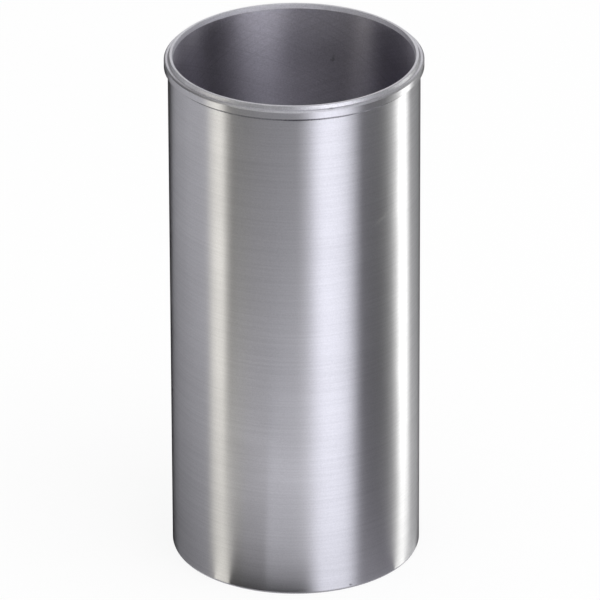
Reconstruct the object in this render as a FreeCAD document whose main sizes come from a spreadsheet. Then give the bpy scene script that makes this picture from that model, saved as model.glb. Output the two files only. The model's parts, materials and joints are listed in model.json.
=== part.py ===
import FreeCAD, Part
import enum
import os
import Sketcher

# Flanged dry cylinder liner: a thin cast-iron sleeve, turned and ground outside and
# honed inside, made in one piece. It stands on its foot. The origin is the centre of
# the foot face and +Z runs up the bore, towards the cylinder head. Millimetres.

# Driving dimensions: alias, value and what it measures.
SIZES = [
    ("liner_length", 225.0, "foot face to fire-ring face"),
    ("bore_diameter", 100.0, "honed bore that the piston runs in"),
    ("wall_thickness", 2.3, "barrel wall between the bore and the ground outside"),
    ("collar_overhang", 1.6, "how far the collar stands out past the barrel"),
    ("collar_thickness", 3.5, "collar land down to the seat face under the collar"),
    ("collar_chamfer", 0.6, "bevel round the collar's top edge"),
    ("fire_ring_height", 1.5, "fire ring above the collar land"),
    ("fire_ring_flank_width", 0.6, "fire ring's sloping flank, across the wall"),
    ("fire_ring_root_radius", 0.25, "fillet between the fire ring's flank and the land"),
    ("relief_width", 1.3, "grinding relief under the collar, along the barrel"),
    ("relief_depth", 0.3, "grinding relief under the collar, into the barrel"),
    ("relief_run_out", 0.5, "length of the relief's sloping lower side"),
    ("relief_corner_radius", 0.4, "fillet from the relief out to the seat face"),
    ("mouth_lead_in_length", 1.9, "ring lead-in at the bore's mouth, along the bore"),
    ("mouth_lead_in_width", 0.5, "ring lead-in at the bore's mouth, across the wall"),
    ("foot_lead_in_length", 0.8, "fitting lead-in outside the foot, along the barrel"),
    ("foot_lead_in_width", 0.3, "fitting lead-in outside the foot, across the wall"),
    ("foot_bore_chamfer", 0.5, "bevel round the bore's lower edge"),
    ("edge_break", 0.15, "bevel that takes the burr off every other turned corner"),
]

# Radii and heights of the section, worked out from the sheet.
AXIS = "0"
FOOT = "0"
BORE = "sizes.bore_diameter / 2"
BARREL = BORE + " + sizes.wall_thickness"
COLLAR = BARREL + " + sizes.collar_overhang"
FIRE_RING_TOP = BARREL + " - sizes.fire_ring_flank_width"
RELIEF = BARREL + " - sizes.relief_depth"
MOUTH = BORE + " + sizes.mouth_lead_in_width"
TOP = "sizes.liner_length"
LAND = TOP + " - sizes.fire_ring_height"
SEAT = LAND + " - sizes.collar_thickness"

# A full turn in degrees, and how near a corner's circle has to lie to be the one meant.
FULL_TURN = 360.0
NEAR = 1e-4


class Axis(enum.IntEnum):
    """How a sketch constraint names the sketch's own axes. The first starts at the origin."""

    ACROSS = -1
    UP = -2


class End(enum.IntEnum):
    """How a sketch constraint names the ends of a line."""

    FIRST = 1
    SECOND = 2


def make_sheet(doc):
    """The spreadsheet of driving dimensions: meaning, value with its alias."""
    sheet = doc.addObject("Spreadsheet::Sheet", "sizes")
    for row, (alias, value, meaning) in enumerate(SIZES, start=1):
        sheet.set(f"A{row}", meaning)
        sheet.set(f"B{row}", str(value))
        sheet.setAlias(f"B{row}", alias)
    doc.recompute()


def origin_part(body, role):
    """The body's own origin plane or axis with this role."""
    return next(part for part in body.Origin.OriginFeatures if part.Role == role)


def place_corner(sketch, edge, label, direction, expression, previous):
    """Fix one coordinate of the corner where an edge starts.

    A zero lies on the sketch's axis, a value shared with the corner before keeps the
    edge between them straight, and any other value is a dimension from the origin.
    """
    across = direction == "DistanceX"
    name = f"{label}_{'radius' if across else 'height'}"
    if expression == "0":
        axis = Axis.UP if across else Axis.ACROSS
        sketch.addConstraint(Sketcher.Constraint("PointOnObject", edge, End.FIRST, axis))
    elif expression == previous:
        sketch.addConstraint(Sketcher.Constraint("Vertical" if across else "Horizontal", edge - 1))
    else:
        value = float(sketch.evalExpression(expression))
        dimension = Sketcher.Constraint(direction, Axis.ACROSS, End.FIRST, edge, End.FIRST, value)
        index = sketch.addConstraint(dimension)
        sketch.renameConstraint(index, name)
        sketch.setExpression(f"Constraints.{name}", expression)


def half_section(body, name, corners):
    """A closed outline beside the axis, through (label, radius, height) corners."""
    sketch = body.newObject("Sketcher::SketchObject", name)
    sketch.AttachmentSupport = (origin_part(body, "XZ_Plane"), "")
    sketch.MapMode = "FlatFace"
    places = [
        FreeCAD.Vector(float(sketch.evalExpression(radius)), float(sketch.evalExpression(height)), 0)
        for label, radius, height in corners
    ]
    edges = [sketch.addGeometry(Part.LineSegment(a, b)) for a, b in zip(places, places[1:] + places[:1])]
    for edge, following in zip(edges, edges[1:] + edges[:1]):
        sketch.addConstraint(Sketcher.Constraint("Coincident", edge, End.SECOND, following, End.FIRST))
    before = (None, None)
    for edge, (label, radius, height) in zip(edges, corners):
        place_corner(sketch, edge, label, "DistanceX", radius, before[0])
        place_corner(sketch, edge, label, "DistanceY", height, before[1])
        before = (radius, height)
    return sketch


def turn(body, kind, name, sketch):
    """Turn a half section about the bore's axis, as a Revolution or a Groove."""
    feature = body.newObject(f"PartDesign::{kind}", name)
    feature.Profile = sketch
    feature.ReferenceAxis = (origin_part(body, "Z_Axis"), [""])
    feature.Angle = FULL_TURN
    body.Document.recompute()
    return feature


def circle_edges(body, feature, circles):
    """Names of the feature's circular edges at the given (radius, height) places."""
    names = []
    for radius, height in circles:
        wanted_radius = float(body.evalExpression(radius))
        wanted_height = float(body.evalExpression(height))
        for number, edge in enumerate(feature.Shape.Edges, start=1):
            if edge.Curve.TypeId != "Part::GeomCircle":
                continue
            off_radius = abs(edge.Curve.Radius - wanted_radius)
            off_height = abs(edge.Curve.Center.z - wanted_height)
            if off_radius < NEAR and off_height < NEAR:
                names.append(f"Edge{number}")
    return names


def finish_corner(body, base, name, kind, size, circles):
    """Add one Fillet or Chamfer of a size from the sheet, at the corners on these circles."""
    edges = circle_edges(body, base, circles)
    if len(edges) != len(circles):
        raise RuntimeError(f"{name}: found {len(edges)} of {len(circles)} corners")
    feature = body.newObject(f"PartDesign::{kind}", name)
    feature.Base = (base, edges)
    feature.setExpression("Radius" if kind == "Fillet" else "Size", f"sizes.{size}")
    body.Document.recompute()
    return feature


def turn_outside(body):
    """The sleeve's outside: foot lead-in, barrel, collar, land and leaning fire ring."""
    outline = half_section(body, "outside_section", [
        ("foot_centre", AXIS, FOOT),
        ("foot_edge", BARREL + " - sizes.foot_lead_in_width", FOOT),
        ("barrel_start", BARREL, "sizes.foot_lead_in_length"),
        ("barrel_end", BARREL, SEAT),
        ("seat_edge", COLLAR, SEAT),
        ("collar_edge", COLLAR, LAND),
        ("fire_ring_root", BARREL, LAND),
        ("fire_ring_edge", FIRE_RING_TOP, TOP),
        ("top_centre", AXIS, TOP),
    ])
    return turn(body, "Revolution", "turned_outside", outline)


def bore_through(body):
    """The bore from foot to mouth, which opens at the top into the ring lead-in."""
    outline = half_section(body, "bore_section", [
        ("foot_centre", AXIS, FOOT),
        ("bore_start", BORE, FOOT),
        ("bore_end", BORE, TOP + " - sizes.mouth_lead_in_length"),
        ("mouth_edge", MOUTH, TOP),
        ("top_centre", AXIS, TOP),
    ])
    return turn(body, "Groove", "bore", outline)


def relieve_collar(body):
    """The grinding relief, a shallow groove that frees the wheel under the collar."""
    lower_end = SEAT + " - sizes.relief_width"
    outline = half_section(body, "relief_section", [
        ("seat_outer", BARREL, SEAT),
        ("seat_inner", RELIEF, SEAT),
        ("floor_end", RELIEF, lower_end + " + sizes.relief_run_out"),
        ("run_out_end", BARREL, lower_end),
    ])
    return turn(body, "Groove", "grinding_relief", outline)


def finish_corners(body, base):
    """Fillets at the two inner corners and bevels on the turned outer corners."""
    burrs = [(FIRE_RING_TOP, TOP), (MOUTH, TOP), (COLLAR, SEAT)]
    corners = [
        ("relief_fillet", "Fillet", "relief_corner_radius", [(RELIEF, SEAT)]),
        ("fire_ring_fillet", "Fillet", "fire_ring_root_radius", [(BARREL, LAND)]),
        ("collar_bevel", "Chamfer", "collar_chamfer", [(COLLAR, LAND)]),
        ("foot_bore_bevel", "Chamfer", "foot_bore_chamfer", [(BORE, FOOT)]),
        ("edge_breaks", "Chamfer", "edge_break", burrs),
    ]
    for name, kind, size, circles in corners:
        base = finish_corner(body, base, name, kind, size, circles)
    return base


def make_liner(doc):
    """The whole liner, one body in the order a lathe and grinder would work."""
    body = doc.addObject("PartDesign::Body", "cylinder_liner")
    body.Label = "cylinder_liner"
    outside = turn_outside(body)
    bored = bore_through(body)
    relieved = relieve_collar(body)
    finished = finish_corners(body, relieved)
    body.Tip = finished
    body.Placement = FreeCAD.Placement()
    doc.recompute()
    volumes = [step.Shape.Volume for step in (outside, bored, relieved)]
    if volumes != sorted(set(volumes), reverse=True):
        raise RuntimeError(f"a cut took nothing off: {volumes}")
    return body


def check(doc, bodies):
    """Stop unless every object is up to date and every body is one valid solid."""
    for item in doc.Objects:
        if {"Invalid", "Error"} & set(item.State):
            raise RuntimeError(f"{item.Label} failed: {item.State}")
        if item.TypeId == "Sketcher::SketchObject" and not item.FullyConstrained:
            raise RuntimeError(f"{item.Label} isn't fully constrained")
    for body in bodies:
        if body.Shape.isNull() or not body.Shape.isValid() or len(body.Shape.Solids) != 1:
            raise RuntimeError(f"{body.Label} isn't one valid solid")


def main():
    """Build the liner, check it and write its solid."""
    doc = FreeCAD.newDocument("cylinder_liner")
    make_sheet(doc)
    bodies = [make_liner(doc)]
    check(doc, bodies)
    os.makedirs("parts", exist_ok=True)
    for body in bodies:
        body.Shape.exportStep(f"parts/{body.Label}.step")
        box = body.Shape.optimalBoundingBox()
        print(f"{body.Label}: {box.XLength:.2f} x {box.YLength:.2f} x {box.ZLength:.2f} mm,"
              f" {body.Shape.Volume / 1000:.2f} cm3")


main()
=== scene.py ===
import json
import logging
import math
from dataclasses import dataclass, field
from enum import Enum
from typing import Any, Mapping, NamedTuple

import bpy
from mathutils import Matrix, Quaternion, Vector


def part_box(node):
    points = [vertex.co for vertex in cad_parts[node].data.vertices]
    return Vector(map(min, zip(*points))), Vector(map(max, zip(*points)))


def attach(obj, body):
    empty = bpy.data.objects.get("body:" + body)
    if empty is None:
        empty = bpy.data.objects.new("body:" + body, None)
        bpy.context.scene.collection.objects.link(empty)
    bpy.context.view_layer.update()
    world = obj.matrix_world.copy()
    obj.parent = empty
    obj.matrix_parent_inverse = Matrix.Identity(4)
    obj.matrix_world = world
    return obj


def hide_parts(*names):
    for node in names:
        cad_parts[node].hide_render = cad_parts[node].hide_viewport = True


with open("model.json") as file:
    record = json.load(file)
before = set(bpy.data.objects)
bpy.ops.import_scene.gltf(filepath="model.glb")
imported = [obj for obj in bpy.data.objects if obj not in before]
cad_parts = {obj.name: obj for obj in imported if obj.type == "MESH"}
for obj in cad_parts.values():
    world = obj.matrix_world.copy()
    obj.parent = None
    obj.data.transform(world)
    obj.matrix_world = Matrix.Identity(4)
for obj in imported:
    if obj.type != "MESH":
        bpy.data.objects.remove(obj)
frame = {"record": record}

# The liner stands upright on its foot on a pale floor. A tent of boards, lamps and cards, seen only
# by the metal, gives it its upright light and dark bands.

LOG = logging.getLogger("cylinder_liner")
MM = 0.001
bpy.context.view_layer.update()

# The darkest and lightest spots of a noise field. Hardly any of it lies past them.
SPOT_LOW = 0.3
SPOT_HIGH = 0.7

# A Mix node's results all have the same name. This is the colour's place among them.
MIXED_COLOUR = 2

# Share of a full turn that swings a metal's smear from along the tool's lines to across them.
QUARTER_TURN = 0.25


def linear(hex_colour: str) -> tuple[float, float, float, float]:
    """Turn an sRGB hex colour into linear RGBA.

    Args:
        hex_colour: the colour as "#RRGGBB".

    Returns:
        The linear red, green, blue and an alpha of 1.
    """
    parts = [int(hex_colour[i:i + 2], 16) / 255 for i in (1, 3, 5)]
    curve = [p / 12.92 if p <= 0.04045 else ((p + 0.055) / 1.055) ** 2.4 for p in parts]
    return curve[0], curve[1], curve[2], 1.0


def mount(name: str) -> dict[str, Any]:
    """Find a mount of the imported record.

    Args:
        name: the mount's name.

    Returns:
        The mount as the record states it.
    """
    return next(m for m in frame["record"]["mounts"] if m["name"] == name)


def blank_tree(owner: bpy.types.Material | bpy.types.World) -> bpy.types.NodeTree:
    """Switch an owner's nodes on and empty them.

    Args:
        owner: the material or world.

    Returns:
        Its node tree with nothing in it.
    """
    owner.use_nodes = True
    owner.node_tree.nodes.clear()
    return owner.node_tree


def add_node(
    tree: bpy.types.NodeTree,
    kind: str,
    inputs: Mapping[str | int, Any] | None = None,
    **settings: Any,
) -> bpy.types.Node:
    """Add one shader node with its settings, its input values and its links.

    Args:
        tree: the node tree that gets the node.
        kind: the node's Blender type name.
        inputs: socket name, identifier or index to a value, or to the output socket that feeds it.
        **settings: the node's own properties.

    Returns:
        The new node.
    """
    node = tree.nodes.new(kind)
    for name, value in settings.items():
        setattr(node, name, value)
    for key, source in (inputs or {}).items():
        socket = node.inputs[key] if isinstance(key, int) else next(
            i for i in node.inputs if key in (i.name, i.identifier) and i.enabled)
        if isinstance(source, bpy.types.NodeSocket):
            tree.links.new(source, socket)
        else:
            socket.default_value = source
    return node


def uneven(
    tree: bpy.types.NodeTree,
    place: bpy.types.NodeSocket,
    size: tuple[float, float, float],
    layers: float = 1.0,
) -> bpy.types.NodeSocket:
    """Add an uneven field whose spots have a real size.

    Args:
        tree: the node tree.
        place: where on the liner, in metres.
        size: about how long a spot is along x, y and z, in millimetres.
        layers: how many finer layers lie in it.

    Returns:
        The field, about 0.5 with spots down to SPOT_LOW and up to SPOT_HIGH.
    """
    per_metre = [1 / (length * MM) for length in size]
    stretched = add_node(tree, "ShaderNodeVectorMath", {0: place, 1: per_metre}, operation="MULTIPLY")
    spots = add_node(tree, "ShaderNodeTexNoise", {
        "Vector": stretched.outputs["Vector"],
        "Scale": 1.0,
        "Detail": layers,
    })
    return spots.outputs["Fac"]


@dataclass(frozen=True)
class Mark:
    """A small mark on one of the liner's walls. Most are what handling left; the dark one in the relief
    under the collar is painted shade.

    Attributes:
        tone: what colour it leaves, as sRGB hex.
        cover: how much of the metal's own colour it hides in its middle.
        turn: where it lies round the liner, in degrees from the front.
        radius: of the wall that it lies on, in millimetres.
        height: of its middle above the foot, in millimetres.
        reach: its half width round the wall and its half height, in millimetres.
        lean: how far its long side leans, in degrees.
        notch: how large the notches in its edge are, in millimetres.
        raggedness: how far a notch moves its edge, where 1 is its reach.
        fade: from where to where it fades out, where 1 is its reach before the notches are added.
    """

    tone: str
    cover: float
    turn: float
    radius: float
    height: float
    reach: tuple[float, float]
    lean: float = 0.0
    notch: float = 0.7
    raggedness: float = 1.2
    fade: tuple[float, float] = (0.7, 1.5)

    def stain_or_shade(
        self, tree: bpy.types.NodeTree, place: bpy.types.NodeSocket, metal: bpy.types.NodeSocket
    ) -> bpy.types.NodeSocket:
        """Lay the mark over the metal's colour, strongest in its middle and ragged at its edge.

        Args:
            tree: the finish's node tree.
            place: the place on the liner.
            metal: the metal's colour.

        Returns:
            The colour with the mark on it.
        """
        turn = math.radians(self.turn)
        middle = Vector((math.sin(turn) * self.radius, -math.cos(turn) * self.radius, self.height)) * MM
        width, height = self.reach
        # Twice as deep as it is long, so that the wall's curve stays inside it.
        depth = 2 * max(self.reach)
        inside = add_node(tree, "ShaderNodeMapping", {
            "Vector": place,
            "Location": middle,
            "Rotation": (0.0, math.radians(self.lean), turn),
            "Scale": (width * MM, depth * MM, height * MM),
        }, vector_type="TEXTURE")
        away = add_node(tree, "ShaderNodeVectorMath", {0: inside.outputs["Vector"]}, operation="LENGTH")
        ragged = add_node(tree, "ShaderNodeMath", {
            0: uneven(tree, place, (self.notch, self.notch, self.notch)),
            1: self.raggedness,
            2: away.outputs["Value"],
        }, operation="MULTIPLY_ADD")
        hidden = add_node(tree, "ShaderNodeMapRange", {
            "Value": ragged.outputs["Value"],
            "From Min": self.fade[0],
            "From Max": self.fade[1],
            "To Min": self.cover,
            "To Max": 0.0,
        }, interpolation_type="SMOOTHSTEP")
        marked = add_node(tree, "ShaderNodeMix", {
            "Factor_Float": hidden.outputs["Result"],
            "A_Color": metal,
            "B_Color": linear(self.tone),
        }, data_type="RGBA")
        return marked.outputs[MIXED_COLOUR]


@dataclass(frozen=True)
class MachinedIron:
    """Grey cast iron, with the lines of the tool that cut it last and graphite in its grain.

    Attributes:
        name: the metal and how it was machined.
        dark: its grey in the tool's lines and at the graphite, as sRGB hex.
        light: its grey between them.
        smooth: the roughness of its smoothest places.
        rough: the roughness of its roughest.
        anisotropy: how much a reflection smears across the tool's lines.
        pitch: from one tool line to the next as drawn, in millimetres.
        run: how far one line runs on before it fades, in millimetres.
        depth: how deep the lines are as drawn, in millimetres.
        marks: what handling left on it, and painted shade.
        flake: how large a flake of graphite is drawn, in millimetres.
        patch: how large its duller and brighter patches are, in millimetres.
    """

    name: str
    dark: str
    light: str
    smooth: float
    rough: float
    anisotropy: float
    pitch: float
    run: float
    depth: float
    marks: tuple[Mark, ...] = ()
    flake: float = 0.6
    patch: float = 24.0

    def tool_lines(self, tree: bpy.types.NodeTree, place: bpy.types.NodeSocket) -> bpy.types.NodeSocket:
        """Draw the lines that a tool leaves on a turning piece, round every wall and face.

        Going up a wall or out along a face moves to the next line, so the lines are drawn
        against the height plus the distance from the axis.

        Args:
            tree: the finish's node tree.
            place: the place on the liner.

        Returns:
            The lines, dark below 0.5 and light above.
        """
        level = add_node(tree, "ShaderNodeVectorMath", {0: place, 1: (1.0, 1.0, 0.0)},
                         operation="MULTIPLY")
        out = add_node(tree, "ShaderNodeVectorMath", {0: level.outputs["Vector"]}, operation="LENGTH")
        parts = add_node(tree, "ShaderNodeSeparateXYZ", {"Vector": place})
        climb = add_node(tree, "ShaderNodeMath", {0: out.outputs["Value"], 1: parts.outputs["Z"]},
                         operation="ADD")
        along = add_node(tree, "ShaderNodeCombineXYZ", {
            "X": parts.outputs["X"],
            "Y": parts.outputs["Y"],
            "Z": climb.outputs["Value"],
        })
        return uneven(tree, along.outputs["Vector"], (self.run, self.run, self.pitch), layers=2.0)

    def material(self) -> bpy.types.Material:
        """Build the finish from its tool lines, its graphite grain and its marks.

        Returns:
            The finish's material.
        """
        made = bpy.data.materials.new(self.name)
        tree = blank_tree(made)
        place = add_node(tree, "ShaderNodeTexCoord").outputs["Object"]
        lines = self.tool_lines(tree, place)
        # Graphite flakes are 0.1 mm and less. They are drawn six times as coarse, so that they show.
        graphite = uneven(tree, place, (self.flake, self.flake, self.flake))
        # The wheel and the stones wear, so one patch is a little duller than the next.
        patches = uneven(tree, place, (self.patch, self.patch, self.patch))
        grain = add_node(tree, "ShaderNodeMath", {0: lines, 1: graphite}, operation="ADD")
        contrast = add_node(tree, "ShaderNodeMapRange", {
            "Value": grain.outputs["Value"],
            "From Min": 2 * SPOT_LOW,
            "From Max": 2 * SPOT_HIGH,
        })
        grey = add_node(tree, "ShaderNodeMix", {
            "Factor_Float": contrast.outputs["Result"],
            "A_Color": linear(self.dark),
            "B_Color": linear(self.light),
        }, data_type="RGBA")
        colour = grey.outputs[MIXED_COLOUR]
        for mark in self.marks:
            colour = mark.stain_or_shade(tree, place, colour)
        roughness = add_node(tree, "ShaderNodeMapRange", {
            "Value": patches,
            "From Min": SPOT_LOW,
            "From Max": SPOT_HIGH,
            "To Min": self.smooth,
            "To Max": self.rough,
        })
        relief = add_node(tree, "ShaderNodeBump", {
            "Height": lines,
            "Strength": 1.0,
            "Distance": self.depth * MM,
        })
        tangent = add_node(tree, "ShaderNodeTangent", direction_type="RADIAL", axis="Z")
        metal = add_node(tree, "ShaderNodeBsdfPrincipled", {
            "Base Color": colour,
            "Metallic": 1.0,
            "Roughness": roughness.outputs["Result"],
            "Anisotropic": self.anisotropy,
            "Anisotropic Rotation": QUARTER_TURN,
            "Normal": relief.outputs["Normal"],
            "Tangent": tangent.outputs["Tangent"],
        })
        add_node(tree, "ShaderNodeOutputMaterial", {"Surface": metal.outputs["BSDF"]})
        return made


@dataclass(frozen=True)
class GroundIron(MachinedIron):
    """Grey cast iron, cylindrically ground.

    The wheel leaves fine lines round the barrel, so a reflection stays narrow round the
    barrel and smears out along it: every lamp becomes an upright band. Its grit's lines are
    0.05 mm apart and are drawn at 0.9 mm, so that they show as a faint brushing.
    """

    name: str = "cast_iron_ground"
    dark: str = "#CBCAD0"
    light: str = "#DBDAE0"
    smooth: float = 0.34
    rough: float = 0.38
    anisotropy: float = 1.0
    pitch: float = 0.9
    run: float = 45.0
    depth: float = 0.0015
    marks: tuple[Mark, ...] = (
        Mark("#F2F2F4", 0.5, turn=43.0, radius=52.3, height=167.5, reach=(7.0, 1.6), lean=-25.0),
        Mark("#4A494E", 0.85, turn=26.0, radius=52.3, height=1.6, reach=(1.0, 0.7)),
    )


@dataclass(frozen=True)
class FacedIron(MachinedIron):
    """Grey cast iron, fine faced on the land and the fire ring.

    The tool's nose leaves even rings, which spread the light a little across them, so the
    rim stays pale all the way round. They are 0.08 mm apart and drawn at 0.35 mm.
    """

    name: str = "cast_iron_faced"
    dark: str = "#D6D5DB"
    light: str = "#F0EFF5"
    smooth: float = 0.42
    rough: float = 0.48
    anisotropy: float = 0.5
    pitch: float = 0.35
    run: float = 12.0
    depth: float = 0.003
    marks: tuple[Mark, ...] = (
        Mark("#6A696E", 0.3, turn=16.5, radius=52.9, height=223.5, reach=(2.2, 0.6)),
    )


@dataclass(frozen=True)
class TurnedIronWithPaintedShade(MachinedIron):
    """Grey cast iron as the lathe left it, in the relief, under the collar and round the foot.

    The wheel never reaches these, so they stay duller than the ground walls beside them. Their
    darker grey is partly that duller metal and partly painted shade, in the relief under the
    collar and round the foot. The feed marks are 0.2 mm apart and are drawn at 0.5 mm.
    """

    name: str = "cast_iron_turned"
    # This darker grey is partly the as-turned metal and partly painted shade, for the relief under the
    # collar and the foot.
    dark: str = "#98979D"
    light: str = "#C0BFC5"
    smooth: float = 0.5
    rough: float = 0.6
    anisotropy: float = 0.5
    pitch: float = 0.5
    run: float = 15.0
    depth: float = 0.01
    marks: tuple[Mark, ...] = (
        # Painted shade: a dark band in the relief at the front, which widens the shadow line under the
        # collar.
        Mark("#46454C", 0.7, turn=2.0, radius=52.0, height=219.0, reach=(12.0, 2.0)),
    )


@dataclass(frozen=True)
class BoredIron(MachinedIron):
    """Grey cast iron, bored at the mouth's lead-in and left as it was.

    A coarse feed spreads the light widely, so the lead-in stays pale all round the mouth
    where the honed bore under it is dark. Its marks are 0.15 mm apart and drawn at 0.5 mm.
    """

    name: str = "cast_iron_bored"
    dark: str = "#E2E1E7"
    light: str = "#F6F5FB"
    smooth: float = 0.62
    rough: float = 0.68
    anisotropy: float = 0.0
    pitch: float = 0.5
    run: float = 12.0
    depth: float = 0.003


@dataclass(frozen=True)
class HonedIron(MachinedIron):
    """Grey cast iron, plateau honed in the bore.

    The stones go up and down as they turn and leave two sets of lines that cross, so the bore
    looks matt and a little darker. The lines are 0.1 mm apart and are drawn at 0.8 mm.

    Attributes:
        wall: the bore's radius, in millimetres.
        slant: the lines' angle from level, in degrees.
    """

    name: str = "cast_iron_honed"
    dark: str = "#B2AFB9"
    light: str = "#CECBD5"
    smooth: float = 0.42
    rough: float = 0.48
    anisotropy: float = 0.9
    pitch: float = 0.8
    run: float = 40.0
    depth: float = 0.003
    marks: tuple[Mark, ...] = (
        Mark("#3C3B40", 0.35, turn=161.0, radius=50.0, height=201.0, reach=(1.4, 2.8), lean=-25.0),
    )
    wall: float = mount("bore")["dims"]["r_mm"]
    slant: float = 25.0

    def tool_lines(self, tree: bpy.types.NodeTree, place: bpy.types.NodeSocket) -> bpy.types.NodeSocket:
        """Draw two sets of hone lines, each of them helices round the bore.

        The angle round the bore is shifted with the height, one way for each set. The shifted
        angle's own cosine and sine close the pattern where the angle starts again.

        Args:
            tree: the finish's node tree.
            place: the place on the liner.

        Returns:
            The darker of the two sets at each place.
        """
        parts = add_node(tree, "ShaderNodeSeparateXYZ", {"Vector": place})
        angle = add_node(tree, "ShaderNodeMath", {0: parts.outputs["Y"], 1: parts.outputs["X"]},
                         operation="ARCTAN2")
        slant = math.radians(self.slant)
        shift = 1 / (self.wall * MM * math.tan(slant))
        # The cosine and sine lie on a circle of radius 1, so a step there is a share of the wall's
        # radius, and MM cancels the one that uneven puts in.
        step = self.pitch / (self.wall * math.sin(slant)) / MM
        sets = []
        for way in (1, -1):
            shifted = add_node(tree, "ShaderNodeMath", {
                0: parts.outputs["Z"],
                1: shift * way,
                2: angle.outputs["Value"],
            }, operation="MULTIPLY_ADD")
            cosine = add_node(tree, "ShaderNodeMath", {0: shifted.outputs["Value"]}, operation="COSINE")
            sine = add_node(tree, "ShaderNodeMath", {0: shifted.outputs["Value"]}, operation="SINE")
            helix = add_node(tree, "ShaderNodeCombineXYZ", {
                "X": cosine.outputs["Value"],
                "Y": sine.outputs["Value"],
                "Z": parts.outputs["Z"],
            })
            sets.append(uneven(tree, helix.outputs["Vector"], (step, step, self.run), layers=2.0))
        darker = add_node(tree, "ShaderNodeMath", {0: sets[0], 1: sets[1]}, operation="MINIMUM")
        return darker.outputs["Value"]


class Surface(Enum):
    """The zones of the liner by how each was machined. The value is the material index."""

    GROUND = 0
    FACED = 1
    TURNED = 2
    HONED = 3
    BORED = 4


FINISHES: Mapping[Surface, MachinedIron] = {
    Surface.GROUND: GroundIron(),
    Surface.FACED: FacedIron(),
    Surface.TURNED: TurnedIronWithPaintedShade(),
    Surface.HONED: HonedIron(),
    Surface.BORED: BoredIron(),
}


class Corner(NamedTuple):
    """A corner of the liner's half section.

    Attributes:
        radius: its distance from the axis, in metres.
        height: its height above the foot, in metres.
        zone: how the face from here to the next corner was machined.
    """

    radius: float
    height: float
    zone: Surface


@dataclass(frozen=True)
class TurnedWall:
    """A straight round wall of the liner, as the record's round mount states it.

    Attributes:
        radius: the wall's radius in metres.
        low: the wall's lower end in metres.
        high: the wall's upper end in metres.
    """

    radius: float
    low: float
    high: float

    @classmethod
    def of_mount(cls, name: str) -> "TurnedWall":
        """Read one wall from the mount that states it.

        Args:
            name: the mount's name.

        Returns:
            The wall's radius and ends.
        """
        stated = mount(name)
        half = stated["dims"]["length_mm"] * MM / 2
        middle = stated["pos_m"][2]
        return cls(stated["dims"]["r_mm"] * MM, middle - half, middle + half)


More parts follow.
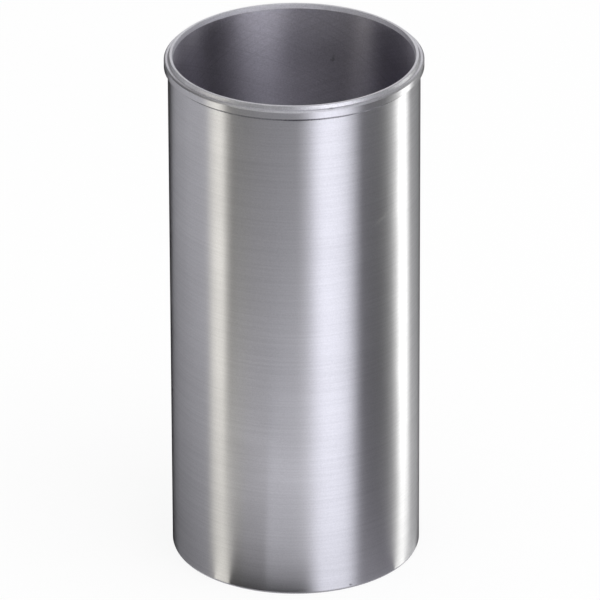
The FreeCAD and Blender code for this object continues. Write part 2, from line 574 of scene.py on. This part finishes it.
@dataclass
class CylinderLiner:
    """The liner itself: one iron sleeve, turned about Z.

    The long walls and their ends come from the frame's mounts. The fields are the small
    turned details between them, in millimetres, and how finely the sleeve is turned.

    Attributes:
        name: the piece's name.
        fire_ring_height: the fire ring above the land.
        fire_ring_flank: its leaning flank, across the wall.
        fire_ring_fillet: the fillet at the flank's root.
        collar_chamfer: the bevel round the collar's top edge.
        edge_break: the bevel that takes the burr off the fire ring and the collar's lower edge.
        mouth_lead_in: the ring lead-in at the bore's mouth, across the wall.
        foot_bore_chamfer: the bevel round the bore's lower edge.
        foot_lead_in: the fitting lead-in outside the foot, across the wall.
        relief_depth: the grinding relief under the collar, into the barrel.
        relief_run_out: the length of the relief's sloping lower side.
        relief_fillet: the fillet from the relief out to the seat face.
        segments: steps in a full turn.
        arc_steps: steps in a fillet.
        sharp_corner: a corner that turns by more than this stays sharp, in degrees.
    """

    name: str = "liner_body"
    fire_ring_height: float = 1.5
    fire_ring_flank: float = 0.6
    fire_ring_fillet: float = 0.25
    collar_chamfer: float = 0.6
    edge_break: float = 0.15
    mouth_lead_in: float = 0.5
    foot_bore_chamfer: float = 0.5
    foot_lead_in: float = 0.3
    relief_depth: float = 0.3
    relief_run_out: float = 0.5
    relief_fillet: float = 0.4
    segments: int = 400
    arc_steps: int = 6
    sharp_corner: float = 16.0

    def build(self) -> bpy.types.Object:
        """Turn the section into a closed mesh and dress it.

        Returns:
            The liner's object, riding on the root body in place of the CAD node.
        """
        mesh = self.lathe(self.outline())
        piece = bpy.data.objects.new(self.name, mesh)
        bpy.context.scene.collection.objects.link(piece)
        for zone in Surface:
            mesh.materials.append(FINISHES[zone].material())
        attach(piece, "root")
        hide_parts("cylinder_liner")
        return piece

    def fillet(
        self, centre: tuple[float, float], radius: float, start: float, end: float, zone: Surface
    ) -> list[Corner]:
        """Place the corners of a fillet in the section.

        Args:
            centre: the fillet's centre as radius from the axis and height, in metres.
            radius: the fillet's own radius in metres.
            start: first angle in degrees, 0 outwards and 90 upwards.
            end: last angle in degrees.
            zone: of the fillet and of the face that it runs into.

        Returns:
            The corners in order.
        """
        corners = []
        for step in range(self.arc_steps + 1):
            angle = math.radians(start + (end - start) * step / self.arc_steps)
            out = centre[0] + radius * math.cos(angle)
            up = centre[1] + radius * math.sin(angle)
            corners.append(Corner(out, up, zone))
        return corners

    def outline(self) -> list[Corner]:
        """Draw the wall's section, up the outside and down the bore.

        Returns:
            The section's corners in order.
        """
        barrel = TurnedWall.of_mount("barrel")
        rim = TurnedWall.of_mount("collar_rim")
        bore = TurnedWall.of_mount("bore")
        seat = mount("collar_seat")["pos_m"][2]
        low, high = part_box("cylinder_liner")
        # The CAD mesh has flats, so its box is narrower on one side. The collar keeps to that side.
        collar = min(high.x, high.y, -low.x, -low.y)
        top = high.z
        land = top - self.fire_ring_height * MM
        edge = self.edge_break * MM
        relief = barrel.radius - self.relief_depth * MM
        corner = self.relief_fillet * MM
        root = self.fire_ring_fillet * MM
        slope = math.atan2(self.fire_ring_height, self.fire_ring_flank)
        root_centre = barrel.radius + root * math.tan(slope / 2)
        root_end = 270.0 - math.degrees(slope)
        flank_top = barrel.radius - self.fire_ring_flank * MM
        mouth = bore.radius + self.mouth_lead_in * MM
        lead_in = math.atan2(mouth - bore.radius, top - bore.high)
        return [
            Corner(bore.radius + self.foot_bore_chamfer * MM, low.z, Surface.TURNED),
            Corner(barrel.radius - self.foot_lead_in * MM, low.z, Surface.TURNED),
            Corner(barrel.radius, barrel.low, Surface.GROUND),
            Corner(barrel.radius, barrel.high, Surface.TURNED),
            Corner(relief, barrel.high + self.relief_run_out * MM, Surface.TURNED),
            *self.fillet((relief + corner, seat - corner), corner, 180.0, 90.0, Surface.TURNED),
            Corner(collar - edge, seat, Surface.TURNED),
            Corner(collar, rim.low, Surface.GROUND),
            Corner(collar, rim.high, Surface.FACED),
            Corner(collar - self.collar_chamfer * MM, land, Surface.FACED),
            *self.fillet((root_centre, land + root), root, 270.0, root_end, Surface.FACED),
            Corner(flank_top + edge * math.cos(slope), top - edge * math.sin(slope), Surface.FACED),
            Corner(flank_top - edge, top, Surface.FACED),
            Corner(mouth + edge, top, Surface.FACED),
            Corner(mouth - edge * math.sin(lead_in), top - edge * math.cos(lead_in), Surface.BORED),
            Corner(bore.radius, bore.high, Surface.HONED),
            Corner(bore.radius, bore.low, Surface.TURNED),
        ]

    def lathe(self, section: list[Corner]) -> bpy.types.Mesh:
        """Turn a section about Z into one closed mesh with sharp corners kept sharp.

        Args:
            section: the section's corners in order.

        Returns:
            The mesh, with each face's material index set from its zone.
        """
        count = len(section)
        turns = [2 * math.pi * step / self.segments for step in range(self.segments)]
        verts = [
            (corner.radius * math.cos(turn), corner.radius * math.sin(turn), corner.height)
            for turn in turns
            for corner in section
        ]
        faces = []
        zones = []
        for step in range(self.segments):
            here = step * count
            there = (step + 1) % self.segments * count
            for first in range(count):
                second = (first + 1) % count
                faces.append((here + first, there + first, there + second, here + second))
                zones.append(section[first].zone.value)
        mesh = bpy.data.meshes.new(self.name)
        mesh.from_pydata(verts, [], faces)
        mesh.polygons.foreach_set("material_index", zones)
        mesh.polygons.foreach_set("use_smooth", [True] * len(faces))
        mesh.set_sharp_from_angle(angle=math.radians(self.sharp_corner))
        mesh.update()
        return mesh


@dataclass(frozen=True)
class Camera:
    """A long lens well above the liner, as the photo has it.

    Attributes:
        distance: from the aim point, in metres.
        elevation: above the horizon, in degrees.
        roll: of the camera about its own axis, in degrees.
        aim: the point at the picture's middle, in metres.
        lens: focal length in millimetres.
        sensor: the sensor's width in millimetres.
        nearest: what lies nearer than this isn't seen, in metres.
        farthest: what lies farther than this isn't seen, in metres.
    """

    distance: float = 3.45
    elevation: float = 26.2
    roll: float = -0.2
    aim: tuple[float, float, float] = (0.0021, 0.0, 0.1117)
    lens: float = 494.0
    sensor: float = 36.0
    nearest: float = 0.1
    farthest: float = 20.0

    def place(self) -> bpy.types.Object:
        """Make the camera and make it the scene's own.

        Returns:
            The camera's object.
        """
        data = bpy.data.cameras.new("camera")
        data.lens = self.lens
        data.sensor_width = self.sensor
        data.clip_start = self.nearest
        data.clip_end = self.farthest
        camera = bpy.data.objects.new("camera", data)
        bpy.context.scene.collection.objects.link(camera)
        tilt = math.radians(self.elevation)
        back = Vector((0.0, -math.cos(tilt), math.sin(tilt)))
        camera.location = Vector(self.aim) + back * self.distance
        look = (-back).to_track_quat("-Z", "Y")
        camera.rotation_mode = "QUATERNION"
        camera.rotation_quaternion = look @ Quaternion((0.0, 0.0, 1.0), math.radians(self.roll))
        bpy.context.scene.camera = camera
        return camera


def put_in_tent(name: str, mesh: bpy.types.Mesh) -> bpy.types.Object:
    """Place a sheet of the tent in the scene so that only the metal sees it.

    Args:
        name: the sheet's name.
        mesh: its mesh, with its light as the material.

    Returns:
        The sheet's object.
    """
    sheet = bpy.data.objects.new(name, mesh)
    bpy.context.scene.collection.objects.link(sheet)
    sheet.visible_camera = False
    sheet.visible_diffuse = False
    sheet.visible_transmission = False
    sheet.visible_shadow = False
    return sheet


# How far a board lies above the floor, and a lamp before the boards, in metres.
LIFT = 0.0003

# How far out from the barrel a board turns up into a wall, in metres.
BOARD_WALL = 0.6

# Every board's section: how far out from the barrel and how high, in metres. It runs out along
# the floor and turns up into a wall.
BOARD_SECTION = (
    (0.0002, LIFT),
    (0.05, LIFT),
    (0.12, LIFT),
    (0.25, LIFT),
    (BOARD_WALL, LIFT),
    (BOARD_WALL, 0.4),
    (BOARD_WALL, 1.2),
)


@dataclass(frozen=True)
class Board:
    """A sheet of paper or a lamp's face beside the liner, seen only in its reflections.

    It stands where the camera's view of a strip of the barrel is mirrored to, so its reflection
    is an upright band, as in the photo.

    Attributes:
        name: what it is in the tent.
        colour: of the light that comes off it, as sRGB hex.
        strip: the left and right side of its band on the barrel, in degrees round from the front.
        light: at each point of its section, where 1 is white paper.
        across: the light's share at the left and the right side of the band.
        fade: how wide each side of the band fades out, in degrees.
        proud: how far it stands in front of the other boards, in metres.
    """

    name: str
    colour: str
    strip: tuple[float, float]
    light: tuple[float, ...]
    across: tuple[float, float] = (1.0, 1.0)
    fade: float = 0.0
    proud: float = 0.0

    def stand(self, barrel: float, step: float = 1.5) -> bpy.types.Object:
        """Make the board as a sheet of flat strips and give it its light.

        Args:
            barrel: the barrel's radius in metres.
            step: the width of one flat strip on the barrel, in degrees.

        Returns:
            The board's object.
        """
        left, right = self.strip
        strips = max(1, round((right - left) / step))
        rows = len(BOARD_SECTION)
        verts = []
        for edge in range(strips + 1):
            place = math.radians(left + (right - left) * edge / strips)
            foot = Vector((math.sin(place), -math.cos(place))) * barrel
            # The barrel mirrors a view from the front to twice the angle of the place it meets.
            way = Vector((math.sin(2 * place), -math.cos(2 * place)))
            for out, height in BOARD_SECTION:
                near = out - self.proud if out == BOARD_WALL else out
                verts.append((*(foot + way * near), height + self.proud))
        faces = []
        for strip in range(strips):
            for point in range(rows - 1):
                corner = strip * rows + point
                faces.append((corner, corner + rows, corner + rows + 1, corner + 1))
        mesh = bpy.data.meshes.new(self.name)
        mesh.from_pydata(verts, [], faces)
        across_and_light = mesh.uv_layers.new(name="across_and_light")
        for loop in mesh.loops:
            edge, point = divmod(loop.vertex_index, rows)
            across_and_light.data[loop.index].uv = (edge / strips, self.light[point])
        mesh.materials.append(self.glow())
        return put_in_tent(self.name, mesh)

    def glow(self) -> bpy.types.Material:
        """Build the board's light, which may fade out towards its two sides.

        Returns:
            The board's material.
        """
        made = bpy.data.materials.new(self.name)
        tree = blank_tree(made)
        held = add_node(tree, "ShaderNodeUVMap", uv_map="across_and_light")
        parts = add_node(tree, "ShaderNodeSeparateXYZ", {"Vector": held.outputs["UV"]})
        lean = add_node(tree, "ShaderNodeMapRange", {
            "Value": parts.outputs["X"],
            "To Min": self.across[0],
            "To Max": self.across[1],
        })
        strength = add_node(tree, "ShaderNodeMath", {0: parts.outputs["Y"], 1: lean.outputs["Result"]},
                            operation="MULTIPLY")
        light = add_node(tree, "ShaderNodeEmission", {
            "Color": linear(self.colour),
            "Strength": strength.outputs["Value"],
        })
        shown = light.outputs["Emission"]
        if self.fade > 0:
            shown = self.faded(tree, parts.outputs["X"], shown)
        add_node(tree, "ShaderNodeOutputMaterial", {"Surface": shown})
        return made

    def faded(
        self, tree: bpy.types.NodeTree, across: bpy.types.NodeSocket, light: bpy.types.NodeSocket
    ) -> bpy.types.NodeSocket:
        """Let the board's light fade into clear at its two sides.

        Args:
            tree: the board's node tree.
            across: the place across the board, 0 at its left side and 1 at its right.
            light: the board's shader.

        Returns:
            The faded shader.
        """
        share = self.fade / (self.strip[1] - self.strip[0])
        rise = add_node(tree, "ShaderNodeMapRange", {"Value": across, "From Max": share},
                        interpolation_type="SMOOTHSTEP")
        fall = add_node(tree, "ShaderNodeMapRange",
                        {"Value": across, "From Min": 1.0, "From Max": 1.0 - share},
                        interpolation_type="SMOOTHSTEP")
        cover = add_node(tree, "ShaderNodeMath", {0: rise.outputs["Result"], 1: fall.outputs["Result"]},
                         operation="MULTIPLY")
        clear = add_node(tree, "ShaderNodeBsdfTransparent")
        mixed = add_node(tree, "ShaderNodeMixShader", {
            0: cover.outputs["Value"],
            1: clear.outputs["BSDF"],
            2: light,
        })
        return mixed.outputs["Shader"]


@dataclass(frozen=True)
class Card:
    """A flat card that the metal mirrors, hung above the tent or level with the rim.

    Attributes:
        name: what it is in the tent.
        light: how light it is, where 1 is white paper.
        near: one edge, as its distance behind the liner's axis and its height, in metres.
        far: the edge opposite.
        half_width: half its width across the view, in metres.
        turn: how far it is swung round the liner's axis, in degrees.
    """

    name: str
    light: float
    near: tuple[float, float]
    far: tuple[float, float]
    half_width: float = 1.4
    turn: float = 0.0

    def hang(self) -> bpy.types.Object:
        """Make the card as one flat sheet with an even light.

        Returns:
            The card's object.
        """
        swing = Quaternion((0.0, 0.0, 1.0), math.radians(self.turn))
        corners = [
            swing @ Vector((side * self.half_width, *edge))
            for edge, sides in ((self.near, (-1, 1)), (self.far, (1, -1)))
            for side in sides
        ]
        mesh = bpy.data.meshes.new(self.name)
        mesh.from_pydata(corners, [], [(0, 1, 2, 3)])
        made = bpy.data.materials.new(self.name)
        tree = blank_tree(made)
        light = add_node(tree, "ShaderNodeEmission", {"Strength": self.light})
        add_node(tree, "ShaderNodeOutputMaterial", {"Surface": light.outputs["Emission"]})
        mesh.materials.append(made)
        return put_in_tent(self.name, mesh)


def tent_boards() -> list[Board]:
    """List the boards from the liner's left edge to its right edge.

    Returns:
        The boards that stand side by side round the liner.
    """
    return [
        Board("left_flag", "#FFFFFF", strip=(-97.0, -71.0),
              light=(0.0, 0.0, 0.0, 0.0, 0.0, 0.1, 0.8)),
        Board("left_board", "#FDFDFF", strip=(-71.0, -37.0), across=(0.5, 0.9),
              light=(0.3, 0.3, 0.45, 0.5, 1.4, 0.0, 0.2)),
        Board("near_left_board", "#FFFEF8", strip=(-37.0, -25.0), across=(0.75, 1.1),
              light=(0.0, 0.4, 1.5, 0.2, 0.0, 0.0, 0.4)),
        Board("front_left_board", "#FFFEFF", strip=(-25.0, -14.0), across=(0.95, 1.05),
              light=(0.0, 0.5, 1.75, 0.0, 0.0, 0.0, 0.4)),
        Board("front_right_board", "#FCFCFF", strip=(-14.0, 12.0), across=(0.85, 1.0),
              light=(0.0, 1.2, 2.1, 0.0, 0.0, 0.05, 0.3)),
        Board("near_right_board", "#F9F7FF", strip=(12.0, 39.0),
              light=(0.4, 0.3, 0.14, 0.08, 0.0, 0.3, 0.4)),
        Board("right_board", "#F9F7FF", strip=(39.0, 56.0),
              light=(0.4, 0.3, 0.14, 0.08, 0.0, 0.0, 0.1)),
        Board("right_edge_board", "#FEFFFB", strip=(56.0, 75.0), across=(0.9, 1.3),
              light=(0.7, 0.55, 0.65, 0.6, 0.4, 0.25, 0.3)),
        Board("right_flag", "#FFFFFF", strip=(75.0, 97.0),
              light=(0.0, 0.0, 0.0, 0.0, 0.0, 0.3, 0.8)),
    ]


def tent_lamps() -> list[Board]:
    """List the lamps, whose faces stand just in front of the boards.

    Returns:
        The lamps from left to right.
    """
    return [
        Board("warm_strip", "#FFFDEF", strip=(-41.6, -31.8), fade=1.5, proud=LIFT,
              light=(1.1, 1.1, 1.2, 1.7, 2.0, 0.8, 0.9)),
        Board("key_softbox", "#F8F9FF", strip=(3.5, 32.6), across=(0.98, 0.9), fade=10.0, proud=LIFT,
              light=(1.2, 1.35, 1.6, 2.0, 1.1, 1.6, 1.8)),
        Board("right_window", "#FEFFF7", strip=(52.0, 61.2), fade=1.2, proud=LIFT,
              light=(1.7, 1.8, 2.1, 3.2, 4.1, 0.2, 0.4)),
    ]


def hung_cards() -> list[Card]:
    """List the cards that the rim's faces and the mouth's lead-in mirror.

    Returns:
        The cards.
    """
    return [
        Card("overhead_front", 0.75, near=(-1.4, 1.25), far=(0.0, 1.25)),
        Card("overhead_back", 0.1, near=(0.0, 1.25), far=(1.4, 1.25)),
        Card("rim_card", 0.8, near=(0.15, 0.24), far=(0.15, 0.48), half_width=0.09),
        Card("mouth_card_left", 1.6, near=(-0.5, 0.228), far=(-0.5, 0.265),
             half_width=0.25, turn=-80.0),
        Card("mouth_card_front", 1.2, near=(-0.5, 0.235), far=(-0.5, 0.335),
             half_width=0.25, turn=-25.0),
        Card("mouth_card_key", 2.6, near=(-0.5, 0.235), far=(-0.5, 0.335),
             half_width=0.25, turn=30.0),
        Card("mouth_card_right", 2.2, near=(-0.5, 0.228), far=(-0.5, 0.265),
             half_width=0.25, turn=85.0),
    ]


@dataclass
class Studio:
    """A pale floor in white surroundings, and the tent that the metal mirrors.

    Attributes:
        floor_colour: the pale floor as sRGB hex.
        floor_reach: the floor's radius in metres.
        floor_sides: how many straight sides its round edge has.
        floor_glow: the share of the floor's white that the eye sees whatever falls on it.
        surround: how much light the surroundings throw on matt surfaces, 1 being white paper's worth.
        lamp_size: the soft lamp's diameter, in metres.
        lamp_place: where it hangs, in metres.
        lamp_watts: its power.
        boards: the tent's boards, and the lamps in front of them.
        cards: the cards hung round the rim and above the tent.
    """

    floor_colour: str = "#F4F4F4"
    floor_reach: float = 2.6
    floor_sides: int = 96
    floor_glow: float = 0.85
    surround: float = 0.9
    lamp_size: float = 1.0
    lamp_place: tuple[float, float, float] = (0.5, -0.4, 1.6)
    lamp_watts: float = 7.0
    boards: list[Board] = field(default_factory=lambda: tent_boards() + tent_lamps())
    cards: list[Card] = field(default_factory=hung_cards)

    def set_up(self) -> None:
        """Lay the floor, light it and stand the tent round the liner."""
        self.lay_floor()
        self.surroundings()
        self.hang_lamp()
        barrel = TurnedWall.of_mount("barrel").radius
        for board in self.boards:
            board.stand(barrel)
        for card in self.cards:
            card.hang()

    def lay_floor(self) -> bpy.types.Object:
        """Lay a round matt floor, which looks near white and keeps the liner's shadow.

        Returns:
            The floor's object.
        """
        turns = [2 * math.pi * step / self.floor_sides for step in range(self.floor_sides)]
        verts = [
            (self.floor_reach * math.cos(turn), self.floor_reach * math.sin(turn), 0.0) for turn in turns
        ]
        mesh = bpy.data.meshes.new("floor")
        mesh.from_pydata(verts, [], [tuple(range(self.floor_sides))])
        made = bpy.data.materials.new("pale_floor")
        tree = blank_tree(made)
        seen = self.seen_ray(tree)
        paper = add_node(tree, "ShaderNodeBsdfDiffuse", {"Color": linear(self.floor_colour)})
        glow = add_node(tree, "ShaderNodeEmission", {"Color": linear("#FFFFFF")})
        share = add_node(tree, "ShaderNodeMath", {0: seen, 1: self.floor_glow}, operation="MULTIPLY")
        mixed = add_node(tree, "ShaderNodeMixShader", {
            0: share.outputs["Value"],
            1: paper.outputs["BSDF"],
            2: glow.outputs["Emission"],
        })
        add_node(tree, "ShaderNodeOutputMaterial", {"Surface": mixed.outputs["Shader"]})
        mesh.materials.append(made)
        floor = bpy.data.objects.new("floor", mesh)
        bpy.context.scene.collection.objects.link(floor)
        return floor

    def seen_ray(self, tree: bpy.types.NodeTree) -> bpy.types.NodeSocket:
        """Add what tells the eye's, the metal's and glass's rays from the rest.

        Args:
            tree: the node tree that asks.

        Returns:
            The output that is 1 for camera, glossy and transmission rays.
        """
        path = add_node(tree, "ShaderNodeLightPath")
        eye_or_metal = add_node(tree, "ShaderNodeMath", {
            0: path.outputs["Is Camera Ray"],
            1: path.outputs["Is Glossy Ray"],
        }, operation="MAXIMUM")
        seen = add_node(tree, "ShaderNodeMath", {
            0: eye_or_metal.outputs["Value"],
            1: path.outputs["Is Transmission Ray"],
        }, operation="MAXIMUM")
        return seen.outputs["Value"]

    def surroundings(self) -> bpy.types.World:
        """Make the world white to the eye and in metal, and plain soft light for the rest.

        Returns:
            The world.
        """
        world = bpy.data.worlds.new("white_surroundings")
        bpy.context.scene.world = world
        tree = blank_tree(world)
        level = add_node(tree, "ShaderNodeMapRange", {
            "Value": self.seen_ray(tree),
            "To Min": self.surround,
            "To Max": 1.0,
        })
        sky = add_node(tree, "ShaderNodeBackground", {
            "Color": linear("#FFFFFF"),
            "Strength": level.outputs["Result"],
        })
        add_node(tree, "ShaderNodeOutputWorld", {"Surface": sky.outputs["Background"]})
        return world

    def hang_lamp(self) -> bpy.types.Object:
        """Hang one large soft lamp, which gives the floor its shadow.

        Returns:
            The lamp's object.
        """
        data = bpy.data.lights.new("soft_lamp", "AREA")
        data.shape = "DISK"
        data.size = self.lamp_size
        data.energy = self.lamp_watts
        lamp = bpy.data.objects.new("soft_lamp", data)
        bpy.context.scene.collection.objects.link(lamp)
        lamp.location = self.lamp_place
        lamp.rotation_euler = (-Vector(self.lamp_place)).to_track_quat("-Z", "Y").to_euler()
        lamp.visible_camera = False
        lamp.visible_glossy = False
        return lamp


def main() -> None:
    """Build the liner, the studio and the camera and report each."""
    logging.basicConfig(level=logging.INFO, format="%(name)s: %(message)s")
    bpy.context.scene.view_settings.view_transform = "Standard"
    liner = CylinderLiner().build()
    LOG.info("%s: %d faces", liner.name, len(liner.data.polygons))
    studio = Studio()
    studio.set_up()
    LOG.info("studio: %d boards and lamps, %d cards", len(studio.boards), len(studio.cards))
    camera = Camera().place()
    LOG.info("%s: %.0f mm lens", camera.name, camera.data.lens)


if __name__ == "__main__":
    main()
